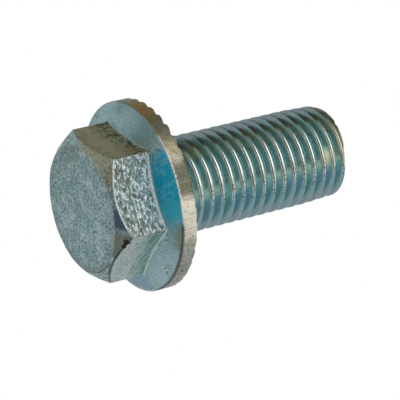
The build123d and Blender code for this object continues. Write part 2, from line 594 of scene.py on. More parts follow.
def build_shank(sizes, material):
    """Closed mesh of the threaded shank, with masks for its crests, roots, flanks and end face."""
    points, off, past, per_turn = shank_surface(sizes)
    rows, columns = points.shape[:2]
    on_end = (past > 0).astype(float)
    elsewhere = 1 - on_end
    away = np.abs(off)
    far_flank = smooth_step((off - 0.30 * MM) / (0.04 * MM)) * smooth_step((0.90 * MM - off) / (0.06 * MM))
    near_lip = smooth_step((-0.16 * MM - off) / (0.06 * MM)) * smooth_step((0.46 * MM + off) / (0.06 * MM))
    masks = {
        "crest": smooth_step((0.40 * MM - away) / (0.06 * MM)) * elsewhere,
        "seam": np.exp(-(((off - SEAM_PLACE) / (0.12 * MM)) ** 2)) * elsewhere,
        "root": smooth_step((away - 0.76 * MM) / (0.10 * MM)) * elsewhere,
        "far_flank": far_flank * elsewhere,
        "near_lip": near_lip * elsewhere,
        "end_face": on_end,
    }
    quads = helix_faces(rows, columns, per_turn)[:, ::-1]
    mesh = welded_mesh("threaded_shank", points.reshape(-1, 3), quads, masks)
    mesh.set_sharp_from_angle(angle=math.radians(60))
    placed("threaded_shank", mesh, material)


# Materials


def new_tree(name):
    """Empty material with its node tree."""
    material = bpy.data.materials.new(name)
    material.use_nodes = True
    material.node_tree.nodes.clear()
    return material, material.node_tree


class Wiring:
    """Short calls for adding and joining shader nodes in one tree."""

    def __init__(self, tree):
        self.tree = tree

    def add(self, kind, **settings):
        """New node of a kind, with its settings."""
        node = self.tree.nodes.new(kind)
        for key, value in settings.items():
            setattr(node, key, value)
        return node

    def put(self, socket, value):
        """Give an input a link, a colour or a plain value."""
        if isinstance(value, bpy.types.NodeSocket):
            self.tree.links.new(value, socket)
        elif isinstance(value, (tuple, list)) and len(value) == 3 and socket.type == "RGBA":
            socket.default_value = (*value, 1.0)
        else:
            socket.default_value = value

    def math(self, operation, a, b=0.0):
        """Result of a Math node."""
        node = self.add("ShaderNodeMath", operation=operation)
        self.put(node.inputs[0], a)
        self.put(node.inputs[1], b)
        return node.outputs[0]

    def plus(self, value, addition, share):
        """value + addition * share."""
        return self.math("ADD", value, self.math("MULTIPLY", addition, share))

    def ramp(self, value, low, high, out_low=0.0, out_high=1.0):
        """Smooth rise from one result to another between two values."""
        node = self.add("ShaderNodeMapRange", interpolation_type="SMOOTHSTEP")
        self.put(node.inputs["Value"], value)
        self.put(node.inputs["From Min"], low)
        self.put(node.inputs["From Max"], high)
        self.put(node.inputs["To Min"], out_low)
        self.put(node.inputs["To Max"], out_high)
        return node.outputs["Result"]

    def mix(self, factor, a, b):
        """Colour between a and b; the Mix node's colour sockets come after those of its other kinds."""
        node = self.add("ShaderNodeMix", data_type="RGBA")
        self.put(node.inputs[0], factor)
        self.put(node.inputs[6], a)
        self.put(node.inputs[7], b)
        return node.outputs[2]

    def noise(self, vector, scale, detail=4.0, roughness=0.55):
        """Value of a Noise texture."""
        node = self.add("ShaderNodeTexNoise")
        self.put(node.inputs["Vector"], vector)
        self.put(node.inputs["Scale"], scale)
        self.put(node.inputs["Detail"], detail)
        self.put(node.inputs["Roughness"], roughness)
        return node.outputs["Fac"]

    def attribute(self, name):
        """Value of one of the mesh's masks."""
        return self.add("ShaderNodeAttribute", attribute_name=name).outputs["Fac"]


def new_group(name, inputs, outputs):
    """Shader node group with named sockets; returns it with its inside input and output nodes."""
    group = bpy.data.node_groups.new(name, "ShaderNodeTree")
    for label, kind, value in inputs:
        socket = group.interface.new_socket(label, in_out="INPUT", socket_type=kind)
        if value is not None:
            socket.default_value = value
    for label, kind in outputs:
        group.interface.new_socket(label, in_out="OUTPUT", socket_type=kind)
    inside = group.nodes.new("NodeGroupInput")
    outside = group.nodes.new("NodeGroupOutput")
    return group, inside.outputs, outside.inputs


def tint_patch_group():
    """A soft-edged patch round a point, with a ragged outline: 1 inside it and 0 outside."""
    group, given, result = new_group(
        "Tint patch",
        [("Vector", "NodeSocketVector", None), ("Centre", "NodeSocketVector", None),
         ("Radius", "NodeSocketFloat", 0.003), ("Softness", "NodeSocketFloat", 0.002),
         ("Ragged", "NodeSocketFloat", 0.0)],
        [("Mask", "NodeSocketFloat")],
    )
    w = Wiring(group)
    distance = w.add("ShaderNodeVectorMath", operation="DISTANCE")
    w.put(distance.inputs[0], given["Vector"])
    w.put(distance.inputs[1], given["Centre"])
    off = w.math("ADD", distance.outputs["Value"], given["Ragged"])
    inner = w.math("SUBTRACT", given["Radius"], given["Softness"])
    w.put(result["Mask"], w.ramp(off, inner, given["Radius"], 1.0, 0.0))
    return group


def side_band_group():
    """A band along one side of the bolt: 1 near a direction round the axis and 0 past a half width, in degrees."""
    group, given, result = new_group(
        "Side band",
        [("Direction", "NodeSocketVector", None), ("Side", "NodeSocketFloat", 0.0),
         ("Half width", "NodeSocketFloat", 30.0), ("Softness", "NodeSocketFloat", 10.0),
         ("Ragged", "NodeSocketFloat", 0.0)],
        [("Mask", "NodeSocketFloat")],
    )
    w = Wiring(group)
    radians = w.math("RADIANS", given["Side"])
    towards = w.add("ShaderNodeCombineXYZ")
    w.put(towards.inputs["X"], w.math("COSINE", radians))
    w.put(towards.inputs["Y"], w.math("SINE", radians))
    dot = w.add("ShaderNodeVectorMath", operation="DOT_PRODUCT")
    w.put(dot.inputs[0], given["Direction"])
    w.put(dot.inputs[1], towards.outputs["Vector"])
    inside = w.math("MINIMUM", w.math("MAXIMUM", dot.outputs["Value"], -1.0), 1.0)
    off = w.math("ADD", w.math("DEGREES", w.math("ARCCOSINE", inside)), given["Ragged"])
    inner = w.math("SUBTRACT", given["Half width"], given["Softness"])
    w.put(result["Mask"], w.ramp(off, inner, given["Half width"], 1.0, 0.0))
    return group


def mottle_group():
    """Cloudy light and dark variation of the plating, with fine speckles and dark pits."""
    group, given, result = new_group(
        "Plating mottle",
        [("Vector", "NodeSocketVector", None), ("Cloud scale", "NodeSocketFloat", 350.0),
         ("Speckle scale", "NodeSocketFloat", 3600.0), ("Pit scale", "NodeSocketFloat", 1700.0),
         ("Pit share", "NodeSocketFloat", 0.26)],
        [("Clouds", "NodeSocketFloat"), ("Speckles", "NodeSocketFloat"), ("Pits", "NodeSocketFloat"),
         ("Ragged", "NodeSocketFloat")],
    )
    w = Wiring(group)
    w.put(result["Clouds"], w.ramp(w.noise(given["Vector"], given["Cloud scale"], 6.0, 0.65), 0.38, 0.62))
    w.put(result["Speckles"], w.ramp(w.noise(given["Vector"], given["Speckle scale"], 3.0, 0.7), 0.3, 0.7))
    cells = w.add("ShaderNodeTexVoronoi", feature="F1")
    w.put(cells.inputs["Vector"], given["Vector"])
    w.put(cells.inputs["Scale"], given["Pit scale"])
    near = w.ramp(cells.outputs["Distance"], 0.08, 0.25, 1.0, 0.0)
    chance = w.noise(given["Vector"], w.math("MULTIPLY", given["Pit scale"], 0.35), 2.0, 0.5)
    limit = w.math("SUBTRACT", 0.75, given["Pit share"])
    w.put(result["Pits"], w.math("MULTIPLY", near, w.ramp(chance, limit, w.math("ADD", limit, 0.07))))
    ragged = w.noise(given["Vector"], w.math("MULTIPLY", given["Cloud scale"], 1.7), 6.0, 0.65)
    w.put(result["Ragged"], w.math("SUBTRACT", ragged, 0.5))
    return group


def grain_group():
    """Rough forged skin: lumps and hollows, with a mask of the hollows that hold dirt."""
    group, given, result = new_group(
        "Forged grain",
        [("Vector", "NodeSocketVector", None), ("Grain scale", "NodeSocketFloat", 2400.0),
         ("Hollow share", "NodeSocketFloat", 0.45)],
        [("Height", "NodeSocketFloat"), ("Hollows", "NodeSocketFloat")],
    )
    w = Wiring(group)
    lumps = w.noise(given["Vector"], given["Grain scale"], 5.0, 0.66)
    w.put(result["Height"], w.ramp(lumps, 0.25, 0.75))
    limit = given["Hollow share"]
    second = w.noise(given["Vector"], w.math("MULTIPLY", given["Grain scale"], 0.8), 3.0, 0.6)
    both = w.math("ADD", w.math("MULTIPLY", lumps, 0.5), w.math("MULTIPLY", second, 0.5))
    w.put(result["Hollows"], w.ramp(both, w.math("SUBTRACT", limit, 0.08), w.math("ADD", limit, 0.04), 1.0, 0.0))
    return group


class Finish:
    """What both plated finishes share: coordinates, groups, tints and the shader itself.

    A finish starts from one colour and lays tints over it in order. Each tint has a colour and one or more
    masks or shares, and their product says how much of it shows at a place. Lengths in spots are in
    millimetres and directions in bands are in degrees from +X. Other lengths are in metres.
    """

    def __init__(self, name, colours, groups):
        self.material, tree = new_tree(name)
        self.w = w = Wiring(tree)
        self.colours = colours
        self.colour = None
        self.place = w.add("ShaderNodeTexCoord").outputs["Object"]
        self.patch, self.side, mottle, self.grain = groups
        axes = w.add("ShaderNodeSeparateXYZ")
        w.put(axes.inputs[0], self.place)
        self.height = axes.outputs["Z"]
        level = w.add("ShaderNodeCombineXYZ")
        w.put(level.inputs["X"], axes.outputs["X"])
        w.put(level.inputs["Y"], axes.outputs["Y"])
        self.level = level.outputs["Vector"]
        direction = w.add("ShaderNodeVectorMath", operation="NORMALIZE")
        w.put(direction.inputs[0], self.level)
        self.direction = direction.outputs["Vector"]
        variation = self.group(mottle, Vector=self.place).outputs
        self.clouds, self.speckles = variation["Clouds"], variation["Speckles"]
        self.pits, self.ragged = variation["Pits"], variation["Ragged"]
        self.speck = w.noise(self.place, 2900.0, 3.0, 0.7)

    def group(self, tree, **values):
        """A node group placed with its own values; an underscore stands for a space in a socket's name."""
        node = self.w.add("ShaderNodeGroup")
        node.node_tree = tree
        for label, value in values.items():
            self.w.put(node.inputs[label.replace("_", " ")], value)
        return node

    def streaks(self, around, along):
        """Noise stretched round the axis or along it, with no seam: it reads the direction and the height."""
        parts = self.w.add("ShaderNodeVectorMath", operation="SCALE")
        self.w.put(parts.inputs[0], self.direction)
        parts.inputs["Scale"].default_value = around
        rise = self.w.add("ShaderNodeCombineXYZ")
        self.w.put(rise.inputs["Z"], self.w.math("MULTIPLY", self.height, along))
        total = self.w.add("ShaderNodeVectorMath", operation="ADD")
        self.w.put(total.inputs[0], parts.outputs["Vector"])
        self.w.put(total.inputs[1], rise.outputs["Vector"])
        return self.w.noise(total.outputs["Vector"], 1.0, 4.0, 0.6)

    def band(self, side, half, soft, ragged=10.0):
        """1 within a half width of a direction round the axis, with a soft and ragged edge."""
        node = self.group(self.side, Direction=self.direction, Side=float(side), Half_width=float(half),
                          Softness=float(soft), Ragged=self.w.math("MULTIPLY", self.ragged, ragged))
        return node.outputs["Mask"]

    def spot(self, centre, radius, soft, ragged=4.0):
        """1 within a radius of a point, with a soft and ragged edge."""
        node = self.group(self.patch, Vector=self.place, Centre=tuple(c * MM for c in centre), Radius=radius * MM,
                          Softness=soft * MM, Ragged=self.w.math("MULTIPLY", self.ragged, ragged * MM))
        return node.outputs["Mask"]

    def frayed(self, value, amount, low, high):
        """Rise of a length from low to high, along an edge that the mottle frays by an amount."""
        return self.w.ramp(self.w.plus(value, self.ragged, amount), low, high)

    def all_of(self, *masks):
        """Product of masks."""
        total = masks[0]
        for mask in masks[1:]:
            total = self.w.math("MULTIPLY", total, mask)
        return total

    def tint(self, value, *masks):
        """Lay a colour over what is there, as far as the masks allow."""
        self.colour = self.w.mix(self.all_of(*masks), self.colour, tuple(value))

    def done(self, rough, lumps, strength):
        """Join colour, roughness and bump to the metal, and return the material."""
        w = self.w
        bump = w.add("ShaderNodeBump")
        bump.inputs["Strength"].default_value = strength
        bump.inputs["Distance"].default_value = 0.0001
        w.put(bump.inputs["Height"], lumps)
        shader = w.add("ShaderNodeBsdfPrincipled")
        shader.inputs["Metallic"].default_value = 1.0
        w.put(shader.inputs["Base Color"], self.colour)
        w.put(shader.inputs["Roughness"], rough)
        w.put(shader.inputs["Normal"], bump.outputs["Normal"])
        out = w.add("ShaderNodeOutputMaterial")
        w.put(out.inputs["Surface"], shader.outputs["BSDF"])
        return self.material


class HeadFinish(Finish):
    """Finish of the head, with the masks and textures that its areas share."""

    def __init__(self, colours, groups):
        super().__init__("Zinc on the head", colours, groups)
        w = self.w
        self.face, self.bevel, self.flat = (w.attribute(k) for k in ("outer_face", "bevel", "flat"))
        self.slope, self.rim, self.bearing = (w.attribute(k) for k in ("slope", "rim", "bearing"))
        far_off = w.add("ShaderNodeVectorMath", operation="LENGTH")
        w.put(far_off.inputs[0], self.level)
        self.reach = far_off.outputs["Value"]
        self.upright = self.streaks(60.0, 250.0)
        self.stains = w.noise(self.place, 330.0, 3.0, 0.6)
        self.blotches = w.noise(self.place, 950.0, 4.0, 0.6)
        self.coarse_speck = w.noise(self.place, 2100.0, 3.0, 0.7)

        # Flats, each named for the direction that it faces, and their grain
        self.flat_30, self.flat_90, self.flat_150 = (
            self.all_of(self.flat, self.band(side, 30.5, 0.6, 0.0)) for side in (30, 90, 150))
        self.far_flats = self.all_of(self.flat, self.band(270, 90.5, 0.6, 0.0))
        self.rough_zone = self.all_of(self.flat_30, self.frayed(self.height, 0.007, 0.0034, 0.0064))
        long = w.add("ShaderNodeVectorMath", operation="MULTIPLY")
        w.put(long.inputs[0], self.place)
        long.inputs[1].default_value = (0.75, 1.0, 1.4)
        self.sparkle = self.group(
            self.grain, Vector=long.outputs["Vector"], Grain_scale=1800.0, Hollow_share=0.465).outputs
        self.crust = self.group(self.grain, Vector=self.place, Grain_scale=1500.0, Hollow_share=0.505).outputs

        # Worn edges and edges with painted highlights on the lit side, and edges darkened as painted shade, broken up
        # by fine noise
        fine = w.math("SUBTRACT", w.noise(self.place, 2500.0, 3.0, 0.6), 0.5)
        self.wear_and_highlight = w.ramp(w.plus(w.attribute("worn"), fine, 0.6), 0.35, 0.8)
        self.shaded_edges = w.ramp(w.plus(w.attribute("edge_shade"), fine, 0.5), 0.25, 0.8)


def tint_plating(f):
    """Pale plating all over: clouds, blotches, dark and light specks."""
    w = f.w
    f.colour = w.mix(f.clouds, tuple(f.colours.plating), tuple(f.colours.shade))
    f.tint((0.62, 0.76, 0.78), w.ramp(f.blotches, 0.52, 0.62), 0.45)
    f.tint((0.30, 0.41, 0.43), w.ramp(f.blotches, 0.48, 0.38), 0.45)
    f.tint((0.10, 0.15, 0.17), w.ramp(f.speck, 0.53, 0.60), 0.8)
    f.tint((0.86, 0.97, 0.97), w.ramp(f.speck, 0.47, 0.39), 0.65)


def tint_outer_face(f):
    """Outer face: dull edge, pale middle, dark specks on the low side, stains and coarse specks."""
    w = f.w
    f.tint((0.30, 0.36, 0.33), f.face, f.frayed(f.reach, 0.004, 0.0088, 0.0104), 0.6)
    f.tint((0.68, 0.84, 0.88), f.face, f.spot((-5.0, 2.5, 0.0), 4.5, 4.0), 0.5)
    low_side = f.all_of(f.face, f.band(195, 75, 40), w.ramp(f.reach, 0.0068, 0.0096))
    f.tint((0.22, 0.29, 0.31), low_side, w.ramp(f.speck, 0.48, 0.56), 0.8)
    f.tint((0.30, 0.33, 0.28), f.face, f.spot((9.5, 0.5, 0.0), 6.0, 5.8), 0.6)
    f.tint((0.30, 0.50, 0.55), f.face, w.ramp(f.stains, 0.50, 0.62), 0.55)
    f.tint((0.75, 0.86, 0.84), f.face, w.ramp(f.stains, 0.46, 0.36), 0.55)
    more_in_stains = w.ramp(f.stains, 0.35, 0.60, 0.5, 0.95)
    f.tint((0.08, 0.11, 0.12), f.face, w.ramp(f.coarse_speck, 0.55, 0.62), more_in_stains)
    f.tint((0.92, 1.0, 1.0), f.face, w.ramp(f.coarse_speck, 0.43, 0.36), 0.6)


def tint_flats(f):
    """Flats: an olive one with a tan middle, a blue-grey one that painted glints turn silver, a pale one, and mixed
    ones on the far side.
    """
    w = f.w
    f.tint((0.73, 0.68, 0.485), f.flat_30, 0.95)
    f.tint((0.82, 0.68, 0.43), f.flat_30, f.spot((9.2, 7.0, 4.2), 2.8, 2.6, 3.0), 0.75)
    f.tint((0.42, 0.40, 0.32), f.flat_30, w.ramp(f.height, 0.0032, 0.0022), w.ramp(f.blotches, 0.45, 0.55), 0.5)
    f.tint((0.36, 0.45, 0.475), f.flat_90, 0.9)
    f.tint((0.38, 0.40, 0.28), f.flat_90, w.ramp(f.height, 0.0060, 0.0030), w.ramp(f.blotches, 0.42, 0.54), 0.75)
    f.tint((0.68, 0.76, 0.74), f.flat_150, w.ramp(f.clouds, 0.0, 1.0, 0.9, 0.5))
    f.tint((0.28, 0.50, 0.46), f.flat_150, w.ramp(f.height, 0.0035, 0.0062), 0.65)
    f.tint((0.20, 0.31, 0.31), f.flat_150, w.ramp(f.coarse_speck, 0.54, 0.62), 0.45)
    f.tint((0.92, 1.0, 0.98), f.flat_150, w.ramp(f.coarse_speck, 0.45, 0.38), 0.35)
    f.tint(f.colours.olive, f.far_flats, f.clouds, 0.7)


def tint_bevel(f):
    """Bevel round the outer face, by direction: olive, dark with bright specks, dark blue, and brown."""
    f.tint(f.colours.olive, f.bevel, f.band(48, 38, 22, 20.0), 0.9)
    f.tint(f.colours.navy, f.bevel, f.band(105, 12, 5, 16.0), 0.9)
    f.tint((0.25, 0.26, 0.20), f.bevel, f.band(130, 17, 8), 0.85)
    f.tint((0.26, 0.29, 0.26), f.bevel, f.band(78, 20, 10, 10.0), 0.8)
    f.tint(f.colours.silver, f.bevel, f.band(78, 22, 10, 10.0), f.w.ramp(f.speck, 0.48, 0.42), 0.7)
    f.tint(f.colours.tan, f.bevel, f.band(72, 10, 7, 10.0), 0.35)
    f.tint(f.colours.olive, f.bevel, f.band(250, 40, 30), 0.6)


def tint_slope(f):
    """Slope of the flange: a deep blue side between paler ones, painted shade beside the flats, a brown-olive painted
    shadow near the rim, and grey and dark marks near the rim.
    """
    w = f.w
    # Darker slope round 48 degrees, beside the olive flat: painted shade
    f.tint((0.28, 0.40, 0.42), f.slope, f.band(48, 15, 10), 0.8)
    f.tint((0.36, 0.58, 0.66), f.slope, w.ramp(f.stains, 0.50, 0.62), 0.5)
    f.tint(f.colours.blue, f.slope, f.band(92, 34, 20, 16.0), f.band(125, 60, 3, 2.0), 0.95)
    f.tint((0.62, 0.82, 0.88), f.slope, f.band(152, 34, 20), 0.55)
    f.tint((0.60, 0.78, 0.82), f.slope, f.band(12, 34, 16), 0.4)
    blue_side = f.all_of(f.slope, f.band(84, 22, 10, 10.0))
    f.tint((0.02, 0.58, 0.90), blue_side, w.ramp(f.blotches, 0.53, 0.45), 0.85)
    f.tint((0.24, 0.76, 1.0), blue_side, w.ramp(f.blotches, 0.55, 0.65), 0.5)
    f.tint((0.02, 0.28, 0.42), blue_side, w.ramp(f.speck, 0.55, 0.63), 0.55)
    # Darker blue close to the foot of the flats: painted shade in the corner
    f.tint((0.02, 0.38, 0.58), blue_side, w.ramp(f.reach, 0.0130, 0.0114), 0.5)
    f.tint((0.25, 0.45, 0.56), f.slope, f.spot((14.3, 3.6, 8.9), 1.6, 1.2), 0.7)
    f.tint((0.28, 0.53, 0.70), f.slope, f.spot((-13.0, -1.0, 8.3), 2.4, 2.2, 3.0), 0.7)
    near_rim = f.all_of(f.slope, f.frayed(f.reach, 0.003, 0.0128, 0.0150))
    # Brown-olive band by the rim round 122 degrees: painted shadow
    f.tint((0.36, 0.37, 0.27), near_rim, f.band(122, 13, 8, 10.0), 0.8)
    f.tint((0.34, 0.44, 0.46), near_rim, f.band(30, 26, 12, 10.0), 0.6)
    f.tint((0.05, 0.08, 0.10), f.slope, f.spot((-12.5, 6.6, 8.7), 1.5, 0.8), w.ramp(f.speck, 0.54, 0.58), 0.85)
    f.tint((0.46, 0.58, 0.60), f.bearing, 0.55)


def tint_rim(f):
    """Rim of the flange, by direction: gold-brown, dark, and cream, with rusty stains and upright scratches."""
    w = f.w
    f.tint((0.53, 0.53, 0.47), f.rim, 0.9)
    f.tint((0.70, 0.47, 0.20), f.rim, f.band(36, 20, 12), 0.9)
    f.tint((0.38, 0.34, 0.24), f.rim, f.band(52, 17, 10, 14.0), 0.85)
    f.tint((0.80, 0.48, 0.20), f.rim, f.spot((12.4, 9.5, 10.4), 1.9, 1.8, 2.0), 0.7)
    f.tint((0.66, 0.54, 0.31), f.rim, f.band(70, 10, 7, 12.0), w.ramp(f.blotches, 0.40, 0.52), 0.85)
    f.tint((0.11, 0.12, 0.085), f.rim, f.band(88, 15, 8), 0.94)
    f.tint((0.26, 0.21, 0.12), f.rim, f.band(86, 14, 8), w.ramp(f.blotches, 0.48, 0.58), 0.7)
    f.tint(f.colours.cream, f.rim, f.band(111, 18, 9), 0.9)
    f.tint(f.colours.tan, f.rim, f.band(235, 40, 30), 0.5)
    rusty = w.ramp(w.noise(f.place, 900.0, 5.0, 0.65), 0.50, 0.66)
    f.tint((0.20, 0.17, 0.10), f.rim, rusty, w.ramp(f.band(112, 25, 15), 0.0, 1.0, 0.55, 0.3))
    f.tint((0.30, 0.30, 0.26), f.rim, w.ramp(f.upright, 0.52, 0.66), 0.5)


def tint_grain(f):
    """Slanted scratches on the pale flat, dirty crust on the olive one, and grain on the silver one with painted
    glints on its lumps.
    """
    w = f.w
    slanted = w.add("ShaderNodeCombineXYZ")
    for socket, axis in (("X", (-0.13, -0.21, -0.05)), ("Y", (-0.26, -0.46, 2.55))):
        dot = w.add("ShaderNodeVectorMath", operation="DOT_PRODUCT")
        w.put(dot.inputs[0], f.place)
        dot.inputs[1].default_value = axis
        w.put(slanted.inputs[socket], dot.outputs["Value"])
    scratch = w.noise(slanted.outputs["Vector"], 1000.0, 2.0, 0.5)
    scratched = f.all_of(f.flat_150, w.ramp(f.height, 0.0015, 0.0060))
    f.tint((0.14, 0.20, 0.16), scratched, w.ramp(scratch, 0.54, 0.62), w.ramp(f.blotches, 0.42, 0.56), 0.7)
    f.tint((0.80, 0.92, 0.86), scratched, w.ramp(scratch, 0.44, 0.37), 0.4)
    f.tint((0.48, 0.50, 0.33), f.rough_zone, 0.7)
    f.tint((0.70, 0.68, 0.34), f.rough_zone, w.ramp(f.crust["Height"], 0.55, 0.75), 0.7)
    f.tint((0.07, 0.07, 0.04), f.rough_zone, f.crust["Hollows"], 0.85)
    f.tint((0.07, 0.085, 0.06), f.flat_90, f.sparkle["Hollows"], 0.8)
    # White on the tops of the grain's lumps on the flat facing 90 degrees: painted glints
    f.tint((0.98, 1.0, 0.97), f.flat_90, w.ramp(f.sparkle["Height"], 0.52, 0.70), 0.95)
    f.tint((0.24, 0.27, 0.22), f.far_flats, f.sparkle["Hollows"], 0.5)


def tint_marks(f):
    """Black nick in the bevel, rusty corner, specks, worn edges with painted highlights, edges darkened as painted
    shade, and the rim's two dark dots.
    """
    w = f.w
    f.tint((0.02, 0.02, 0.015), f.spot((-6.7, 9.8, 1.25), 0.68, 0.16, 1.0), 0.97)
    f.tint((0.02, 0.02, 0.015), f.spot((-7.25, 9.2, 1.0), 0.54, 0.16, 1.4), 0.97)
    f.tint((0.58, 0.29, 0.08), f.flat_30, f.spot((7.2, 9.5, 6.0), 1.7, 1.5), 0.65)
    f.tint((0.20, 0.19, 0.14), f.bevel, w.ramp(f.speck, 0.53, 0.60), 0.5)
    fewer_on_cream = w.ramp(f.band(112, 25, 15), 0.0, 1.0, 0.45, 0.22)
    f.tint((0.14, 0.14, 0.10), f.rim, w.ramp(f.speck, 0.55, 0.62), fewer_on_cream)
    # Silver on worn edges, and painted highlights on the edges that face the key lamp
    f.tint(f.colours.silver, f.wear_and_highlight)
    # Painted shade: dark lines along edges, away from the lit side
    f.tint(f.colours.dirt_and_shade, f.shaded_edges, 0.75)
    f.tint(f.colours.dirt_and_shade, f.pits, 0.5)
    # Pale green line where the flat facing 150 degrees meets the slope: painted highlight
    f.tint((0.60, 0.78, 0.70), f.wear_and_highlight, f.band(152, 29, 3, 0.0), w.ramp(f.rim, 0.0, 1.0, 1.0, 0.0), 0.85)
    f.tint(f.colours.dirt_and_shade, f.spot((-13.19, 8.33, 10.48), 0.38, 0.2, 0.8), 0.9)
    f.tint(f.colours.dirt_and_shade, f.spot((-13.1, 8.45, 11.6), 0.42, 0.2, 0.8), 0.85)


def head_finish(colours, groups):
    """Finish of the head: pale plating, tarnish that differs from side to side, forged grain, worn edges, and painted
    highlights and painted shade on edges, flats and the slope.

    The tints of each area lie over those of the areas before it.
    """
    f = HeadFinish(colours, groups)
    for area in (tint_plating, tint_outer_face, tint_flats, tint_bevel, tint_slope, tint_rim, tint_grain, tint_marks):
        area(f)
    w = f.w
    rough = w.plus(0.33, f.speckles, 0.10)
    rough = w.plus(rough, f.wear_and_highlight, -0.15)
    rough = w.plus(rough, f.rim, 0.06)
    rough = w.plus(rough, f.flat_90, -0.14)
    lumps = w.math("MULTIPLY", f.speckles, 0.25)
    lumps = w.plus(lumps, f.all_of(f.flat_90, f.sparkle["Height"]), 2.4)
    lumps = w.plus(lumps, f.all_of(f.far_flats, f.sparkle["Height"]), 1.0)
    lumps = w.plus(lumps, f.all_of(f.rough_zone, f.crust["Height"]), 2.0)
    lumps = w.plus(lumps, f.all_of(f.rim, f.upright), 0.8)
    lumps = w.plus(lumps, f.pits, -0.8)
    return f.done(rough, lumps, 0.6)


def thread_finish(colours, groups):
    """Finish of the thread: blue-green film on the flanks with a painted highlight round 106 degrees, crests and roots
    bright on the lit side, partly as painted highlight, and far flanks darkened as painted shade.
    """
    f = Finish("Zinc on the thread", colours, groups)
    w = f.w
    crest, seam, root, end = (w.attribute(k) for k in ("crest", "seam", "root", "end_face"))
    far, lip = w.attribute("far_flank"), w.attribute("near_lip")
    lines = f.streaks(4.0, 7000.0)
    broad = f.streaks(5.0, 900.0)
    front = f.band(88, 33, 14)
    bright = w.ramp(crest, 0.3, 0.8)

    # Film on the flanks, which changes round the axis, with a painted highlight and painted shade on them
    f.colour = w.mix(w.math("MULTIPLY", f.clouds, 0.5), tuple(colours.teal), (0.30, 0.52, 0.48))
    f.tint((0.38, 0.45, 0.50), f.band(350, 57, 28, 40.0), 0.9)
    # Lighter flanks round 106 degrees: painted highlight of the key lamp
    f.tint((0.53, 0.69, 0.66), f.band(106, 20, 17, 34.0), w.ramp(f.clouds, 0.1, 0.8), 0.9)
    f.tint((0.34, 0.52, 0.62), f.band(130, 22, 16, 40.0), w.ramp(f.clouds, 0.1, 0.9, 1.0, 0.25), 0.85)
    f.tint((0.36, 0.44, 0.50), f.band(172, 34, 22, 26.0), 0.85)
    f.tint((0.45, 0.54, 0.55), f.band(250, 65, 35, 30.0), f.clouds, 0.8)
    f.tint(colours.olive, f.band(52, 18, 10, 24.0), f.clouds, 0.6)
    # Far flanks darkened round 82 degrees: painted shade, which hides the lamp's reflection there
    f.tint((0.06, 0.10, 0.11), far, f.band(82, 28, 12), 0.9)

    # Crests: bright round 88 degrees, partly worn zinc and partly painted highlight, with a brown lip and a dark seam
    # there, and darkened round 41 degrees as a painted dark reflection
    f.tint((0.64, 0.71, 0.69), bright, w.ramp(front, 0.0, 1.0, 0.1, 0.95))
    # Roots painted silver on the lit side: painted highlight
    f.tint((0.62, 0.72, 0.70), root, front, 0.4)
    f.tint((0.44, 0.43, 0.31), lip, front, w.ramp(broad, 0.40, 0.60, 0.35, 0.95))
    front_seam = f.all_of(seam, w.ramp(front, 0.0, 1.0, 0.0, 0.95))
    f.tint((0.04, 0.05, 0.035), front_seam, w.ramp(broad, 0.30, 0.50, 0.6, 1.0))
    # Crests darkened round 41 degrees: painted reflection of something dark
    f.tint((0.10, 0.08, 0.05), bright, f.band(41, 13, 8, 14.0), 0.8)

    # Olive tip, specks, one pale patch and the end face
    f.tint((0.42, 0.40, 0.28), w.ramp(f.height, 0.0440, 0.0458), f.band(60, 55, 20), 0.8)
    f.tint((0.12, 0.13, 0.09), bright, f.band(115, 22, 12, 20.0), w.ramp(f.speck, 0.50, 0.58), 0.8)
    f.tint((0.78, 0.78, 0.62), f.spot((-1.4, 6.8, 42.6), 2.2, 2.0, 3.0), 0.85)
    f.tint((0.50, 0.60, 0.60), end, 0.9)
    f.tint((0.24, 0.30, 0.29), end, w.ramp(f.speck, 0.52, 0.62), 0.7)
    f.tint((0.44, 0.42, 0.30), end, w.ramp(f.clouds, 0.4, 1.0), 0.35)
    f.tint(colours.dirt_and_shade, f.pits, 0.3)

    rough = w.plus(0.22, f.speckles, 0.04)
    rough = w.plus(rough, end, 0.12)
    lumps = w.plus(w.math("MULTIPLY", lines, 0.04), f.clouds, 0.10)
    lumps = w.plus(lumps, f.pits, -0.2)
    return f.done(rough, lumps, 0.5)


# Stage


